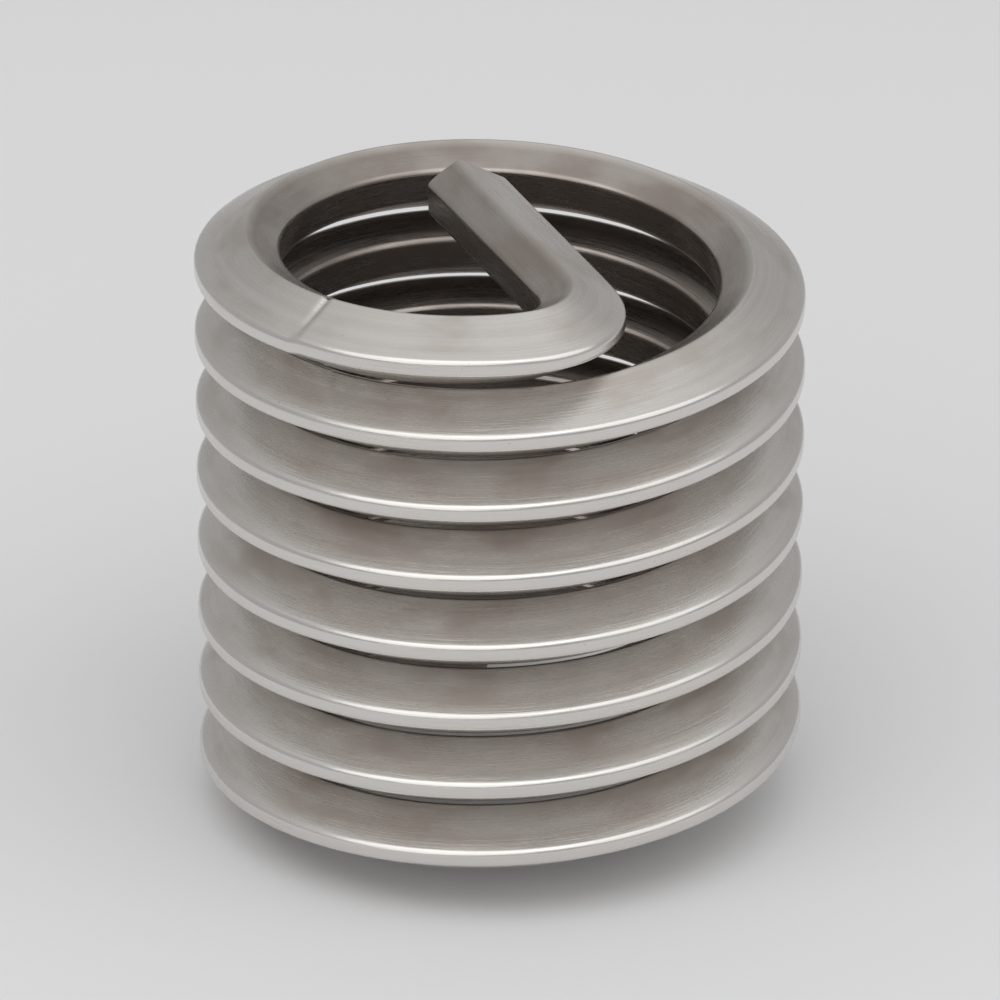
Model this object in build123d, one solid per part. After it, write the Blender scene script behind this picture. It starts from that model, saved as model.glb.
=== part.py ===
from build123d import *

import os
from math import acos, atan2, cos, degrees, hypot, radians, sin, tan

# Helical wire thread insert for an M8 x 1.25 screw, 1.5 diameters long, in its free state:
# one length of rolled wire, coiled right-handed, with a tang across the bore at its upper end.
# The coil's axis is +Z. The free end is at the bottom, on Z = 0, and the tang is at the top.

# Thread form, in millimetres and degrees
PITCH = 1.25
FLANK_ANGLE = 30.0  # between a flank and the plane across the wire, so 60 between flanks
FREE_DIAMETER = 10.0  # over the outer crests, before the insert is wound into its hole
OUTER_DEPTH = 0.84  # from the wire's widest line out to the outer crest
INNER_DEPTH = 0.56  # from the wire's widest line in to the inner crest
GAP = 0.05  # between neighbouring turns at the wire's widest line

COIL_RADIUS = FREE_DIAMETER / 2 - OUTER_DEPTH  # the widest line of the wire
BORE_RADIUS = COIL_RADIUS - INNER_DEPTH
HALF_WIDTH = (PITCH - GAP) / 2
FLANK_SLOPE = tan(radians(FLANK_ANGLE))
SHARP_DEPTH = HALF_WIDTH / FLANK_SLOPE  # where the flanks would meet with no crest

# Coil
CRESTED_QUARTERS = 25  # quarter turns from the free end whose crests are turned true
END_TURNS = 1.125  # from there to the tang's notch

# Tang
LEAD_RADIUS = 3.82  # the wire draws in from the notch to the bend
LEAD_ANGLE = 50.0
BEND_RADIUS = 1.02
TANG_PAST_AXIS = 1.80  # how far the tang's tip is beyond the coil's axis
LEAD_PITCH = PITCH * LEAD_RADIUS / COIL_RADIUS  # keeps the coil's lead angle

# Notch that lets the tang snap off
NOTCH_DEPTH = 0.55
NOTCH_HALF_ANGLE = 30.0
NOTCH_HEIGHT = 1.30  # taller than the wire, and clear of the turn below
NOTCH_RUN_IN = 0.25  # how far the cutter starts inside the bore


def tang_bend_angle():
    """The turn of the bend that aims the tang straight across the coil's axis."""
    draw_in = COIL_RADIUS - LEAD_RADIUS
    along = draw_in * cos(radians(LEAD_ANGLE)) + LEAD_RADIUS - BEND_RADIUS
    across = draw_in * sin(radians(LEAD_ANGLE))
    return degrees(acos(-BEND_RADIUS / hypot(along, across)) - atan2(across, along))


def tang_length(bend_angle):
    """The straight run from the bend to the tang's tip."""
    to_axis = (COIL_RADIUS - LEAD_RADIUS) * sin(radians(LEAD_ANGLE + bend_angle))
    to_axis += (LEAD_RADIUS - BEND_RADIUS) * sin(radians(bend_angle))
    return to_axis + TANG_PAST_AXIS


def upright_face(radius, corners):
    """A face in the XZ plane from (out, up) corners about the wire's widest line."""
    outline = Polyline(*corners, close=True)
    return (Plane((radius, 0, 0), (1, 0, 0), (0, -1, 0)) * make_face(outline)).face()


def sharp_section(radius):
    """The rolled wire with its flanks carried on to a sharp point on each side."""
    corners = [(SHARP_DEPTH, 0), (0, HALF_WIDTH), (-SHARP_DEPTH, 0), (0, -HALF_WIDTH)]
    return upright_face(radius, corners)


def crested_section(radius):
    """The rolled wire: four 60 degree thread flanks and a flat crest on each side."""
    outer_half = HALF_WIDTH - OUTER_DEPTH * FLANK_SLOPE
    inner_half = HALF_WIDTH - INNER_DEPTH * FLANK_SLOPE
    corners = [
        (OUTER_DEPTH, -outer_half),
        (OUTER_DEPTH, outer_half),
        (0, HALF_WIDTH),
        (-INNER_DEPTH, inner_half),
        (-INNER_DEPTH, -inner_half),
        (0, -HALF_WIDTH),
    ]
    return upright_face(radius, corners)


def wound(section, pitch, radius, turns):
    """A section carried round the Z axis from angle 0, rising by the pitch each turn."""
    return Solid.sweep(section, Helix(pitch, pitch * turns, radius), is_frenet=True)


def quarter_turn():
    """A quarter of a turn, with its inner and outer crests on true cylinders."""
    reach = 2 * PITCH
    tube = Solid.make_cylinder(FREE_DIAMETER / 2, 2 * reach, Plane((0, 0, -reach)))
    bore = Solid.make_cylinder(BORE_RADIUS, 4 * reach, Plane((0, 0, -2 * reach)))
    sharp = wound(sharp_section(COIL_RADIUS), PITCH, COIL_RADIUS, 0.25)
    return sharp.intersect(tube.cut(bore)).solid()


def crested_turns():
    """The quarter turns of the threaded length, each screwed on from the last."""
    quarter = quarter_turn()
    step = Pos(0, 0, PITCH / 4) * Rot(0, 0, 90)
    place = Location()
    quarters = []
    for _ in range(CRESTED_QUARTERS):
        quarters.append(place * quarter)
        place = place * step
    return quarters, place


def notch_cutter():
    """A V across the bore side of the wire, at angle 0."""
    run = NOTCH_DEPTH + NOTCH_RUN_IN
    half = run * tan(radians(NOTCH_HALF_ANGLE))
    floor = BORE_RADIUS + NOTCH_DEPTH
    outline = Polyline((floor, 0), (floor - run, half), (floor - run, -half), close=True)
    return Pos(0, 0, -NOTCH_HEIGHT / 2) * extrude(make_face(outline), NOTCH_HEIGHT)


def wire_insert():
    """The whole wire: threaded length, end turn, notch, lead-in, bend and tang."""
    lengths, end_place = crested_turns()
    end_turn = wound(crested_section(COIL_RADIUS), PITCH, COIL_RADIUS, END_TURNS)
    lengths.append(end_place * end_turn)

    notch_place = end_place * Pos(0, 0, PITCH * END_TURNS) * Rot(0, 0, 360 * END_TURNS)
    lead_turns = LEAD_ANGLE / 360
    lead_in = wound(crested_section(LEAD_RADIUS), LEAD_PITCH, LEAD_RADIUS, lead_turns)
    lead_place = notch_place * Pos(COIL_RADIUS - LEAD_RADIUS, 0, 0)
    lengths.append(lead_place * lead_in)

    bend_angle = tang_bend_angle()
    bend = revolve(crested_section(BEND_RADIUS), Axis.Z, bend_angle).solid()
    bend_place = lead_place * Pos(0, 0, LEAD_PITCH * lead_turns) * Rot(0, 0, LEAD_ANGLE)
    bend_place = bend_place * Pos(LEAD_RADIUS - BEND_RADIUS, 0, 0)
    lengths.append(bend_place * bend)

    tang = Solid.extrude(crested_section(BEND_RADIUS), (0, tang_length(bend_angle), 0))
    lengths.append(bend_place * Rot(0, 0, bend_angle) * tang)

    wire = lengths[0].fuse(*lengths[1:]).cut(notch_place * notch_cutter()).solid()

    # The tang points along +Y, and the lowest edge of the free end is on Z = 0.
    turned = 90 * CRESTED_QUARTERS + 360 * END_TURNS + LEAD_ANGLE + bend_angle
    return Pos(0, 0, HALF_WIDTH) * Rot(0, 0, -turned) * wire


def main():
    os.makedirs("parts", exist_ok=True)
    insert = wire_insert()
    export_step(insert, "parts/wire_insert.step")
    box = insert.bounding_box()
    print("outer", FREE_DIAMETER, "bore", 2 * BORE_RADIUS, "height", round(box.size.Z, 3))
    print("volume mm3", round(insert.volume, 2), "valid", insert.is_valid)


main()
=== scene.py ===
from math import acos, atan2, ceil, cos, exp, hypot, pi, radians, sin, sqrt, tan

import bpy
from mathutils import Matrix, Vector, noise


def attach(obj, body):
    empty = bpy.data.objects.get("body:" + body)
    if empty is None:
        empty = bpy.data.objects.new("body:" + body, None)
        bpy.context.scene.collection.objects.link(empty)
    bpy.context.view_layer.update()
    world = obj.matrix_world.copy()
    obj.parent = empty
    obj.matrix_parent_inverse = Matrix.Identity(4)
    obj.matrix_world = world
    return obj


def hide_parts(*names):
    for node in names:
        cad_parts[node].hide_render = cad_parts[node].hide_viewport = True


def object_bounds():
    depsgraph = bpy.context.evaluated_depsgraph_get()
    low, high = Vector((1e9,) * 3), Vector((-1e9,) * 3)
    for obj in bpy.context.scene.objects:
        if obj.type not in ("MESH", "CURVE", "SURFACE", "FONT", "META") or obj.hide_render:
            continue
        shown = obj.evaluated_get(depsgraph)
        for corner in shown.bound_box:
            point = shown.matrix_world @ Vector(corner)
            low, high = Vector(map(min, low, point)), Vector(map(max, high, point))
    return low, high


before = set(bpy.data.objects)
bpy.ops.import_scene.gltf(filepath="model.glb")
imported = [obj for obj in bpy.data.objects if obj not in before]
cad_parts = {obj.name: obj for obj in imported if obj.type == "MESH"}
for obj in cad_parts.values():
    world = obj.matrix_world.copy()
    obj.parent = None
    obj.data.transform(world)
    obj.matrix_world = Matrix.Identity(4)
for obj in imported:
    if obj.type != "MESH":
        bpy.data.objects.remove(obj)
CAD_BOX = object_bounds()
AIM = (CAD_BOX[0] + CAD_BOX[1]) / 2  # what the lamps and the camera look at

# A wire thread insert standing on its free end, with its tang at the top. Lengths are in
# millimetres up to the point where the mesh is made, and the path is the CAD's own.
MM = 0.001

# Thread form
PITCH = 1.25
FLANK_ANGLE = radians(30.0)
FLANK_SLOPE = tan(FLANK_ANGLE)
FREE_RADIUS = 5.0
OUTER_DEPTH = 0.84
INNER_DEPTH = 0.56
GAP = 0.05  # between neighbouring turns
HALF_WIDTH = (PITCH - GAP) / 2
COIL_RADIUS = FREE_RADIUS - OUTER_DEPTH
ONE_TURN = 2 * pi * COIL_RADIUS

# Coil and tang
COIL_TURNS = 7.375
LEAD_RADIUS = 3.82
LEAD_ANGLE = radians(50.0)
BEND_RADIUS = 1.02
TANG_PAST_AXIS = 1.80
TANG_ROLL = radians(3.0)  # the wire turns a little about itself past the notch
TANG_CLIMB = 0.35  # share of the coil's climb that the tang keeps
CLIMB = PITCH / (2 * pi * COIL_RADIUS)  # rise for each millimetre along the coil

# Lengths over which the wire changes its curvature, its roll and its climb
NOTCH_BLEND = 0.45
BEND_BLEND = 1.30
SWELL_BLEND = 0.6
CLIMB_BLEND = 0.9
ROLL_IN = 0.25
ROLL_OUT = 2.0

# Notch
NOTCH_DEPTH = 0.55
NOTCH_SLOPE = tan(radians(30.0))
NOTCH_ROOT = 0.03  # rounding at the bottom of the V
SCORE_DEPTH = 0.045  # the line that the notch leaves across the flanks
SCORE_WIDTH = 0.06
LIP_HEIGHT = 0.016  # metal raised beside the V
LIP_PLACE = 0.36
LIP_WIDTH = 0.06

# A bend thickens the wire on its inside and thins it on its outside
BEND_SWELL = 0.07
BEND_THIN = 0.05

# Wandering of a wound wire from its true line: how far, and over what length
WANDER_OUT = 0.012
WANDER_OUT_LENGTH = 9.0
WANDER_UP = 0.010
WANDER_UP_LENGTH = 6.0

# Sheared ends
SHEAR_REACH = 0.12  # length of wire that the shear has drawn
SHEAR_BACK = 0.03  # how far the sheared edge lies behind the face
SHEAR_ROUGH = 0.010
SHEAR_TORN = 0.007
ROLLED_OVER = 0.05
BURR = 0.055
TIP_SEED = 2.0
FREE_END_SEED = 9.0
CAP_RINGS = [  # share of the outline, depth below the face, share of bare metal
    (0.992, 0.010, 0.35),
    (0.972, 0.0, 0.9),
    (0.90, -0.002, 1.0),
    (0.78, -0.004, 1.0),
    (0.62, -0.004, 1.0),
    (0.44, -0.002, 1.0),
    (0.24, 0.0, 1.0),
]

# Rolled corners of the section
CREST_ROUND = 0.10
INNER_ROUND = 0.11
RIDGE_ROUND = 0.05
HOLD = 0.02  # keeps the flanks flat beside a rounded corner
ARC_STEPS = 3
FLANK_STEPS = 4
FLANK_LENGTH = 0.6  # a side longer than this is a flank, and gets FLANK_STEPS

# Mesh along the wire
TURN_STEPS = 128
FINE_STEP = 0.022
MEDIUM_STEP = 0.06
PATH_STEP = 0.03  # longest step in following the path
FINE_NEAR_END = 0.3
FINE_NEAR_NOTCH = 0.55
MEDIUM_BEFORE_NOTCH = 1.0

# Where the zones of the wire's look begin, and the widths over which they fade in
CREST_FROM, CREST_FADE = 0.84, 0.14  # shares of the outer depth
GROOVE_FROM, GROOVE_FADE = 0.55, 0.45  # shares of the half width
BORE_FROM, BORE_FADE = 0.02, 0.16  # millimetres, going in
NOTCH_CUT_REACH, NOTCH_CUT_FADE = 0.26, 0.08  # millimetres along the wire
NOTCH_CUT_FROM, NOTCH_CUT_EDGE = 0.05, 0.06  # millimetres, going in
COVER_BLEND = 3.0  # millimetres over which an end turn comes to lie on its neighbour

# Colours of the wire
# rubbed crests, also a painted highlight
WORN_AND_SHEEN = (0.715, 0.688, 0.660, 1)
PALE = (0.675, 0.648, 0.620, 1)
PLAIN = (0.625, 0.594, 0.564, 1)
WARM = (0.505, 0.452, 0.406, 1)
# painted shade for the inside of the bore
BORE_SHADE = (0.300, 0.258, 0.230, 1)
# dark of the pits, also painted shade between the turns
SOIL_AND_SHADE = (0.110, 0.094, 0.084, 1)
BARE = (0.680, 0.660, 0.636, 1)
RELIEF = 0.0000045  # metres from the bottom of the bump to its top

# Studio
HORIZON = 0.46  # light of the dome round about, and of the backdrop
OVERHEAD = 0.80  # light of the dome from straight above
FLOOR_SIZE = 0.8  # metres from its middle to its side
FLOOR_COLOUR = (0.78, 0.78, 0.785, 1)
FADE_FROM, FADE_TO = 0.025, 0.11  # metres over which the floor goes over to the backdrop


def smooth(x):
    """Rises smoothly from 0 to 1 as x goes from 0 to 1."""
    x = min(max(x, 0.0), 1.0)
    return x * x * (3 - 2 * x)


def wobble(x, seed, size=1.0):
    """Smooth noise about zero along a length."""
    return noise.noise(Vector((x / size, seed, 0.37 * seed)))


# ---------------------------------------------------------------- path of the wire

DRAW_IN = COIL_RADIUS - LEAD_RADIUS
ALONG = DRAW_IN * cos(LEAD_ANGLE) + LEAD_RADIUS - BEND_RADIUS
ACROSS = DRAW_IN * sin(LEAD_ANGLE)
BEND_ANGLE = acos(-BEND_RADIUS / hypot(ALONG, ACROSS)) - atan2(ACROSS, ALONG)
TANG_LENGTH = (
    DRAW_IN * sin(LEAD_ANGLE + BEND_ANGLE)
    + (LEAD_RADIUS - BEND_RADIUS) * sin(BEND_ANGLE)
    + TANG_PAST_AXIS
)

NOTCH_AT = ONE_TURN * COIL_TURNS
BEND_AT = NOTCH_AT + LEAD_RADIUS * LEAD_ANGLE
TANG_AT = BEND_AT + BEND_RADIUS * BEND_ANGLE
TIP_AT = TANG_AT + TANG_LENGTH
TURNED = 2 * pi * COIL_TURNS + LEAD_ANGLE + BEND_ANGLE


def past(along, place, width):
    """0 before a place on the wire and 1 after it, with a smooth change between."""
    return smooth((along - place) / width + 0.5)


def curvature(along):
    """How sharply the wire turns, seen from above."""
    bend = 1 / COIL_RADIUS
    bend += (1 / LEAD_RADIUS - 1 / COIL_RADIUS) * past(along, NOTCH_AT, NOTCH_BLEND)
    bend += (1 / BEND_RADIUS - 1 / LEAD_RADIUS) * past(along, BEND_AT, BEND_BLEND)
    return bend - past(along, TANG_AT, BEND_BLEND) / BEND_RADIUS


def stops():
    """Places along the wire that get a ring of points: close together where it changes."""
    fine = [
        (0.0, FINE_NEAR_END),
        (NOTCH_AT - FINE_NEAR_NOTCH, NOTCH_AT + FINE_NEAR_NOTCH),
        (TIP_AT - FINE_NEAR_END, TIP_AT),
    ]
    at = 0.0
    places = []
    while at < TIP_AT:
        places.append(at)
        if any(a <= at < b for a, b in fine):
            step = FINE_STEP
        elif at > NOTCH_AT - MEDIUM_BEFORE_NOTCH:
            step = MEDIUM_STEP
        else:
            step = ONE_TURN / TURN_STEPS
        at += step
    places.append(TIP_AT)
    return places


def path():
    """(along, point, outward) at each stop: followed in small arcs, seen from above."""
    found = []
    x, y, z, heading = COIL_RADIUS, 0.0, 0.0, pi / 2
    before = 0.0
    for at in stops():
        parts = max(1, ceil((at - before) / PATH_STEP))
        step = (at - before) / parts
        for k in range(parts):
            middle = before + (k + 0.5) * step
            turn = curvature(middle) * step
            chord = 1 - turn * turn / 24  # an arc's chord, as a share of its length
            x += step * cos(heading + turn / 2) * chord
            y += step * sin(heading + turn / 2) * chord
            level = (1 - TANG_CLIMB) * past(middle, BEND_AT, CLIMB_BLEND)
            z += step * CLIMB * (1 - level)
            heading += turn
        before = at
        found.append((at, Vector((x, y, z)), Vector((sin(heading), -cos(heading), 0))))
    return found


# ---------------------------------------------------------------- section of the wire


def rounded(corners, radii):
    """A closed outline with rounded corners and flat runs, as evenly placed points."""
    points = []
    count = len(corners)
    for i, corner in enumerate(corners):
        corner = Vector(corner)
        back = (Vector(corners[i - 1]) - corner).normalized()
        ahead_full = Vector(corners[(i + 1) % count]) - corner
        ahead = ahead_full.normalized()
        half_turn = (pi - back.angle(ahead)) / 2
        reach = radii[i] * tan(half_turn)
        centre = corner + (back + ahead).normalized() * radii[i] / cos(half_turn)
        start = corner + back * reach
        end = corner + ahead * reach
        points.append(start + back * HOLD)
        first = (start - centre).normalized()
        last = (end - centre).normalized()
        for k in range(ARC_STEPS + 1):
            spoke = first.slerp(last, k / ARC_STEPS)
            points.append(centre + spoke * radii[i])
        points.append(end + ahead * HOLD)
        following = radii[(i + 1) % count]
        if ahead_full.length > FLANK_LENGTH:
            far = ahead_full.length - following * FLANK_SLOPE - HOLD
            near = reach + HOLD
            for k in range(1, FLANK_STEPS):
                points.append(corner + ahead * (near + (far - near) * k / FLANK_STEPS))
    return points


def section(inner_depth):
    """The rolled wire's outline as (out, up) points about its widest line."""
    outer_half = HALF_WIDTH - OUTER_DEPTH * FLANK_SLOPE
    inner_half = HALF_WIDTH - INNER_DEPTH * FLANK_SLOPE
    corners = [
        (OUTER_DEPTH, -outer_half),
        (OUTER_DEPTH, outer_half),
        (0, HALF_WIDTH),
        (-INNER_DEPTH, inner_half),
        (-INNER_DEPTH, -inner_half),
        (0, -HALF_WIDTH),
    ]
    radii = [CREST_ROUND, CREST_ROUND, RIDGE_ROUND, INNER_ROUND, INNER_ROUND, RIDGE_ROUND]
    outline = rounded(corners, radii)
    # Where the notch is cut, what lies further in than its floor is brought out to it.
    return [Vector((max(p.x, -inner_depth), p.y)) for p in outline]


def ring(at):
    """The outline at a place along the wire, with the notch and the bend's swelling."""
    off = at - NOTCH_AT
    cut = NOTCH_DEPTH - (sqrt(off * off + NOTCH_ROOT**2) - NOTCH_ROOT) / NOTCH_SLOPE
    lip = LIP_HEIGHT * exp(-(((abs(off) - LIP_PLACE) / LIP_WIDTH) ** 2))
    score = SCORE_DEPTH * exp(-((off / SCORE_WIDTH) ** 2))
    bent = past(at, BEND_AT, SWELL_BLEND) - past(at, TANG_AT, SWELL_BLEND)
    roll = TANG_ROLL * past(at, NOTCH_AT, ROLL_IN) * (1 - past(at, BEND_AT, ROLL_OUT))
    points = []
    for p in section(INNER_DEPTH - max(cut, 0.0)):
        out, up = p
        inner = smooth(-out / INNER_DEPTH)
        out -= lip * inner
        up *= 1 + lip * inner * 0.8 / HALF_WIDTH
        # The score thins the flanks but not the crests.
        up *= 1 - score * (1 - smooth((out - 0.45) / 0.3)) * (1 - inner) / HALF_WIDTH
        up *= 1 + bent * (BEND_SWELL * inner - BEND_THIN * smooth(out / OUTER_DEPTH))
        turned = Vector((out * cos(roll) - up * sin(roll), out * sin(roll) + up * cos(roll)))
        points.append(turned)
    return points


def wander(at):
    """How far the wire is from its true line: (outward, up)."""
    outward = WANDER_OUT * wobble(at, 3.1, WANDER_OUT_LENGTH)
    return outward, WANDER_UP * wobble(at, 7.7, WANDER_UP_LENGTH)


def shear(out, up, seed):
    """How far a sheared end stands out at a point of its face: smooth above, torn below."""
    rough = SHEAR_ROUGH * noise.noise(Vector((out * 4, up * 2, seed)))
    torn = SHEAR_TORN * noise.noise(Vector((out * 12, up * 9, seed + 4)))
    rough += torn * (0.25 + 0.75 * smooth(0.4 - up / 0.4))
    rolled_over = ROLLED_OVER * smooth((-up / HALF_WIDTH - 0.15) / 0.85)
    burr = BURR * smooth((up / HALF_WIDTH - 0.45) / 0.4)
    burr *= 0.55 + 0.9 * noise.noise(Vector((out * 4, seed, 1.7)))
    return rough - rolled_over + burr


# ---------------------------------------------------------------- mesh of the wire


def zones_at(at, out, up, cut):
    """How far a point belongs to each zone of the wire's look, from 0 to 1."""
    # Painted shade darkens the flanks where a turn lies against the next one.
    if up < 0:
        covered = smooth((at - ONE_TURN) / COVER_BLEND)
    else:
        covered = smooth((NOTCH_AT - ONE_TURN - at) / COVER_BLEND)
    return {
        "crest": smooth((out / OUTER_DEPTH - CREST_FROM) / CREST_FADE),
        "groove": covered * smooth((abs(up) / HALF_WIDTH - GROOVE_FROM) / GROOVE_FADE),
        "cut": cut,
        "bore": smooth((BORE_FROM - out) / BORE_FADE),
    }


def notch_cut(at, out):
    """1 on the cut faces of the notch, and 0 away from them."""
    away = smooth((abs(at - NOTCH_AT) - NOTCH_CUT_REACH) / NOTCH_CUT_FADE)
    return (1 - away) * smooth((-out - NOTCH_CUT_FROM) / NOTCH_CUT_EDGE)


class Skin:
    """The wire's points, with the length, girth and zones that its material needs."""

    def __init__(self):
        self.turn_back = Matrix.Rotation(-TURNED, 3, "Z")
        self.points, self.lengths, self.girths = [], [], []
        self.zones = {"crest": [], "groove": [], "cut": [], "bore": []}

    def keep(self, point, at, girth, out, up, cut):
        """Keeps one point, given in millimetres, and returns its number."""
        lifted = self.turn_back @ point + Vector((0, 0, HALF_WIDTH))
        self.points.append(lifted * MM)
        self.lengths.append(at)
        self.girths.append(girth)
        for name, share in zones_at(at, out, up, cut).items():
            self.zones[name].append(share)
        return len(self.points) - 1

    def add_ring(self, station, outline, push, cut_all=0.0):
        """One ring of points, pushed along the wire where it is an end."""
        at, centre, outward = station
        ahead = Vector((-outward.y, outward.x, 0))
        aside, lift = wander(at)
        girth = 0.0
        last = outline[-1]
        indices = []
        for p in outline:
            girth += (p - last).length
            last = p
            spot = centre + outward * (p.x + aside) + Vector((0, 0, p.y + lift))
            spot += ahead * push(p.x, p.y)
            cut = max(cut_all, notch_cut(at, p.x))
            indices.append(self.keep(spot, at, girth, p.x, p.y, cut))
        return indices

    def add_cap(self, station, way, seed):
        """A sheared end: a rounded edge, then a rough face closing to its middle."""
        at, centre, outward = station
        outline = ring(at)
        middle = sum(outline, Vector((0, 0))) / len(outline)
        made = []
        for share, depth, cut in CAP_RINGS:

            def push(out, up, depth=depth):
                return way * (shear(out, up, seed) - depth)

            shape = [middle + (p - middle) * share for p in outline]
            made.append(self.add_ring(station, shape, push, cut))
        ahead = Vector((-outward.y, outward.x, 0))
        spot = centre + outward * middle.x + Vector((0, 0, middle.y))
        spot += ahead * way * shear(middle.x, middle.y, seed)
        return made, self.keep(spot, at, 0.0, middle.x, middle.y, 1.0)


def drawn(at):
    """The push along the wire near its ends, where the shear has drawn it."""
    tip = smooth(1 - (TIP_AT - at) / SHEAR_REACH)
    end = smooth(1 - at / SHEAR_REACH)

    def push(out, up):
        at_tip = tip * (shear(out, up, TIP_SEED) - SHEAR_BACK)
        return at_tip - end * (shear(out, up, FREE_END_SEED) - SHEAR_BACK)

    return push


def closed_faces(rings, end_middle, tip_middle):
    """Faces from ring to ring, and a fan over each end, all facing outward."""
    faces = []
    count = len(rings[0])
    for a, b in zip(rings, rings[1:]):
        for i in range(count):
            j = (i + 1) % count
            faces.append((a[i], b[i], b[j], a[j]))
    for i in range(count):
        j = (i + 1) % count
        faces.append((rings[0][i], rings[0][j], end_middle))
        faces.append((rings[-1][j], rings[-1][i], tip_middle))
    return faces


def wire_mesh():
    """The wire as one closed skin."""
    skin = Skin()
    stations = path()
    rings = []
    for station in stations:
        at = station[0]
        rings.append(skin.add_ring(station, ring(at), drawn(at)))
    tip_rings, tip_middle = skin.add_cap(stations[-1], 1.0, TIP_SEED)
    end_rings, end_middle = skin.add_cap(stations[0], -1.0, FREE_END_SEED)
    rings = end_rings[::-1] + rings + tip_rings

    mesh = bpy.data.meshes.new("insert_wire")
    mesh.from_pydata(skin.points, [], closed_faces(rings, end_middle, tip_middle))
    mesh.update()
    for face in mesh.polygons:
        face.use_smooth = True
    layout = mesh.uv_layers.new(name="wire")
    for loop in mesh.loops:
        v = loop.vertex_index
        layout.data[loop.index].uv = (skin.lengths[v], skin.girths[v])
    for name, values in skin.zones.items():
        mesh.attributes.new(name, "FLOAT", "POINT").data.foreach_set("value", values)
    return mesh


# ---------------------------------------------------------------- materials


class Shader:
    """A material's nodes, made one after another."""

    def __init__(self, tree):
        self.tree = tree
        tree.nodes.clear()

    def add(self, kind, settings=None, **inputs):
        node = self.tree.nodes.new(kind)
        for key, value in (settings or {}).items():
            setattr(node, key, value)
        for key, value in inputs.items():
            self.set(node, key.replace("_", " "), value)
        return node

    def set(self, node, key, value):
        socket = node.inputs[int(key[1:])] if key[:1] == "#" else node.inputs[key]
        if isinstance(value, bpy.types.NodeSocket):
            self.tree.links.new(value, socket)
        else:
            socket.default_value = value

    def math(self, operation, a, b=0.0, clamp=False):
        node = self.add("ShaderNodeMath", {"operation": operation, "use_clamp": clamp})
        self.set(node, "#0", a)
        self.set(node, "#1", b)
        return node.outputs[0]

    def mix(self, factor, a, b):
        node = self.add("ShaderNodeMix", {"data_type": "RGBA"})
        self.set(node, "#0", factor)
        self.set(node, "#6", a)
        self.set(node, "#7", b)
        return node.outputs[2]

    def spread(self, value, low, high, to_low=0.0, to_high=1.0):
        node = self.add("ShaderNodeMapRange", {"interpolation_type": "SMOOTHSTEP"})
        for key, number in enumerate([value, low, high, to_low, to_high]):
            self.set(node, f"#{key}", number)
        return node.outputs[0]

    def noise(self, vector, scale, detail=3.0, rough=0.55):
        node = self.add("ShaderNodeTexNoise")
        self.set(node, "Vector", vector)
        self.set(node, "Scale", scale)
        self.set(node, "Detail", detail)
        self.set(node, "Roughness", rough)
        return node.outputs["Fac"]

    def stretched(self, vector, scale):
        node = self.add("ShaderNodeMapping")
        self.set(node, "Vector", vector)
        self.set(node, "Scale", scale)
        return node.outputs[0]


def wire_patterns(s):
    """The noises and zones that the wire's colour, roughness and relief are made of."""
    wire = s.add("ShaderNodeUVMap", {"uv_map": "wire"}).outputs[0]
    solid = s.add("ShaderNodeTexCoord").outputs["Object"]
    pattern = {}

    # Noise in the wire's own millimetres: long and narrow for rolling lines.
    pattern["lines"] = s.noise(s.stretched(wire, (0.35, 26.0, 1.0)), 1.0, 4.0, 0.6)
    pattern["wide lines"] = s.noise(s.stretched(wire, (0.16, 5.0, 1.0)), 1.0, 2.0, 0.5)
    pattern["clouds"] = s.noise(s.stretched(wire, (0.55, 1.1, 1.0)), 1.0, 3.0, 0.55)
    pattern["scratches"] = s.noise(s.stretched(wire, (2.2, 70.0, 1.0)), 1.0, 2.0, 0.5)

    # Noise in the part's own metres: the same whichever way the wire runs.
    pattern["grain"] = s.noise(solid, 16000.0, 3.0, 0.6)
    specks = s.noise(solid, 5200.0, 2.0, 0.5)
    coarse = s.spread(pattern["grain"], 0.66, 0.76)
    pattern["pits"] = s.math("MULTIPLY", coarse, s.spread(specks, 0.5, 0.62))
    shear_lines = s.noise(s.stretched(solid, (15000.0, 15000.0, 2600.0)), 1.0, 3.0, 0.6)
    pattern["torn"] = s.spread(shear_lines, 0.35, 0.65)

    # Zones that the mesh keeps on its points.
    for zone in ("crest", "groove", "cut", "bore"):
        node = s.add("ShaderNodeAttribute", {"attribute_name": zone})
        pattern[zone] = node.outputs["Fac"]
    # the groove zone, streaked, makes painted shade between the turns
    streaks = s.spread(pattern["wide lines"], 0.3, 0.7, 0.06, 0.26)
    pattern["dirt"] = s.math("MULTIPLY", pattern["groove"], streaks)
    return pattern


def wire_colour(s, pattern):
    """Steel with warm stains, crests paler from wear and a painted highlight, and painted shade
    in its grooves and in the bore.
    """
    colour = s.mix(s.spread(pattern["wide lines"], 0.35, 0.68), PLAIN, PALE)
    colour = s.mix(s.spread(pattern["clouds"], 0.44, 0.68, 0.0, 0.70), colour, WARM)
    colour = s.mix(s.spread(pattern["lines"], 0.56, 0.78, 0.0, 0.35), colour, WARM)
    # painted highlight on the crests, mixed with rubbed wear
    rubbed_and_sheen = s.math("MULTIPLY", pattern["crest"], s.spread(pattern["scratches"], 0.2, 0.6, 0.6))
    colour = s.mix(rubbed_and_sheen, colour, WORN_AND_SHEEN)
    # painted shade in the grooves between turns
    colour = s.mix(pattern["dirt"], colour, SOIL_AND_SHADE)
    # painted shade in the bore, in patches
    shade_patches = s.spread(pattern["clouds"], 0.3, 0.7, 0.62, 0.9)
    colour = s.mix(s.math("MULTIPLY", pattern["bore"], shade_patches), colour, BORE_SHADE)
    colour = s.mix(s.math("MULTIPLY", pattern["pits"], 0.5), colour, SOIL_AND_SHADE)
    return s.mix(pattern["cut"], colour, s.mix(pattern["torn"], WARM, BARE))


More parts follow.
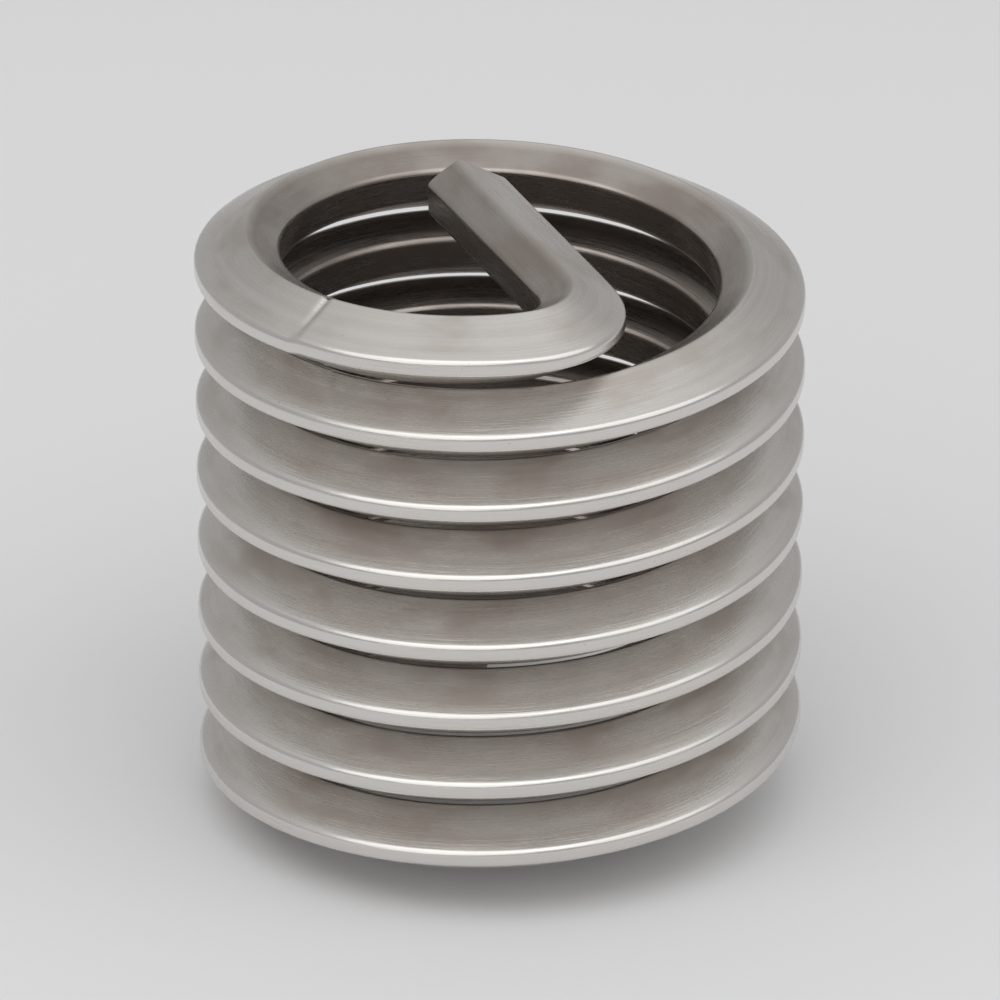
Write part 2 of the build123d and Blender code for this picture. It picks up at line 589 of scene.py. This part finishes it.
def wire_roughness(s, pattern):
    """Satin: a little smoother on the crests, rougher in the grooves between turns and where
    the wire is cut.
    """
    rough = s.spread(pattern["lines"], 0.3, 0.72, 0.21, 0.32)
    rough = s.math("ADD", rough, s.spread(pattern["clouds"], 0.4, 0.75, 0.0, 0.08))
    rough = s.math("SUBTRACT", rough, s.math("MULTIPLY", pattern["crest"], 0.06))
    rough = s.math("ADD", rough, s.math("MULTIPLY", pattern["dirt"], 0.25))
    return s.math("ADD", rough, s.math("MULTIPLY", pattern["cut"], 0.14), clamp=True)


def wire_relief(s, pattern):
    """Rolling lines, scratches, grain and pits, and the tearing of a cut face."""
    relief = s.math(
        "ADD",
        s.math("MULTIPLY", pattern["lines"], 0.55),
        s.math("MULTIPLY", pattern["scratches"], 0.3),
    )
    relief = s.math("ADD", relief, s.math("MULTIPLY", pattern["wide lines"], 0.6))
    relief = s.math("ADD", relief, s.math("MULTIPLY", pattern["grain"], 0.12))
    relief = s.math("SUBTRACT", relief, s.math("MULTIPLY", pattern["pits"], 0.4))
    tearing = s.math("MULTIPLY", pattern["torn"], pattern["cut"])
    return s.math("ADD", relief, s.math("MULTIPLY", tearing, 0.8))


def steel():
    """Rolled stainless wire: lines along its length, warm stains, crests brighter from wear and
    a painted highlight, painted shade in the grooves and bore.
    """
    material = bpy.data.materials.new("rolled_stainless_wire")
    material.use_nodes = True
    s = Shader(material.node_tree)
    pattern = wire_patterns(s)
    relief = wire_relief(s, pattern)
    bump = s.add("ShaderNodeBump", Strength=1.0, Distance=RELIEF, Height=relief)
    tangent = s.add("ShaderNodeTangent", {"direction_type": "UV_MAP", "uv_map": "wire"})
    surface = s.add("ShaderNodeBsdfPrincipled", Metallic=1.0, Anisotropic=0.35)
    s.set(surface, "Base Color", wire_colour(s, pattern))
    s.set(surface, "Roughness", wire_roughness(s, pattern))
    s.set(surface, "Normal", bump.outputs[0])
    s.set(surface, "Tangent", tangent.outputs[0])
    output = s.add("ShaderNodeOutputMaterial")
    s.set(output, "Surface", surface.outputs[0])
    return material


def floor_material():
    """A pale floor that keeps the shadow and goes over to the backdrop further away."""
    material = bpy.data.materials.new("pale_floor")
    material.use_nodes = True
    s = Shader(material.node_tree)
    place = s.add("ShaderNodeNewGeometry").outputs["Position"]
    away = s.add("ShaderNodeVectorMath", {"operation": "LENGTH"})
    s.set(away, "#0", place)
    far = s.spread(away.outputs["Value"], FADE_FROM, FADE_TO)
    matt = s.add("ShaderNodeBsdfDiffuse", Color=FLOOR_COLOUR)
    backdrop = s.add("ShaderNodeEmission", Color=(1, 1, 1, 1), Strength=HORIZON)
    both = s.add("ShaderNodeMixShader")
    s.set(both, "#0", far)
    s.set(both, "#1", matt.outputs[0])
    s.set(both, "#2", backdrop.outputs[0])
    output = s.add("ShaderNodeOutputMaterial")
    s.set(output, "Surface", both.outputs[0])
    return material


# ---------------------------------------------------------------- the studio


def studio_floor():
    """A plain floor round the object, wide enough to fill every view."""
    side = FLOOR_SIZE
    mesh = bpy.data.meshes.new("studio_floor")
    corners = [(-side, -side, 0), (side, -side, 0), (side, side, 0), (-side, side, 0)]
    mesh.from_pydata(corners, [], [(0, 1, 2, 3)])
    mesh.materials.append(floor_material())
    ground = bpy.data.objects.new("studio_floor", mesh)
    bpy.context.scene.collection.objects.link(ground)


def studio_world():
    """A soft dome, lighter overhead than round about."""
    world = bpy.data.worlds.new("studio")
    world.use_nodes = True
    s = Shader(world.node_tree)
    towards = s.add("ShaderNodeTexCoord").outputs["Generated"]
    height = s.add("ShaderNodeSeparateXYZ", Vector=towards).outputs["Z"]
    strength = s.spread(height, 0.45, 1.0, HORIZON, OVERHEAD)
    sky = s.add("ShaderNodeBackground", Color=(1, 1, 1, 1), Strength=strength)
    output = s.add("ShaderNodeOutputWorld")
    s.set(output, "Surface", sky.outputs[0])
    bpy.context.scene.world = world


def direction(azimuth, elevation):
    """From the object towards a place round it, azimuth 0 being the front."""
    a, e = radians(azimuth), radians(elevation)
    return Vector((sin(a) * cos(e), -cos(a) * cos(e), sin(e)))


def soft_lamp(name, azimuth, elevation, distance, size, watts):
    """A wide disc of light facing the object, out of the camera's sight."""
    lamp = bpy.data.lights.new(name, "AREA")
    lamp.shape = "DISK"
    lamp.size = size
    lamp.energy = watts
    holder = bpy.data.objects.new(name, lamp)
    towards = direction(azimuth, elevation)
    holder.location = AIM + towards * distance
    holder.rotation_euler = towards.to_track_quat("Z", "Y").to_euler()
    holder.visible_camera = False
    bpy.context.scene.collection.objects.link(holder)


def camera(azimuth, elevation, lens, across):
    """A long lens that frames so many metres at the object."""
    data = bpy.data.cameras.new("camera")
    data.lens = lens
    distance = across * lens / data.sensor_width
    data.clip_start, data.clip_end = distance * 0.1, distance * 10
    holder = bpy.data.objects.new("camera", data)
    back = direction(azimuth, elevation)
    holder.location = AIM + back * distance
    holder.rotation_euler = back.to_track_quat("Z", "Y").to_euler()
    bpy.context.scene.collection.objects.link(holder)
    bpy.context.scene.camera = holder


wire = bpy.data.objects.new("insert_wire", wire_mesh())
bpy.context.scene.collection.objects.link(wire)
wire.data.materials.append(steel())
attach(wire, "root")
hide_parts("wire_insert")

studio_floor()
studio_world()
soft_lamp("key", azimuth=310, elevation=42, distance=0.20, size=0.30, watts=0.175)
soft_lamp("fill", azimuth=35, elevation=45, distance=0.20, size=0.22, watts=0.075)
camera(azimuth=337, elevation=26, lens=400, across=0.0165)

bpy.context.scene.view_settings.view_transform = "Standard"
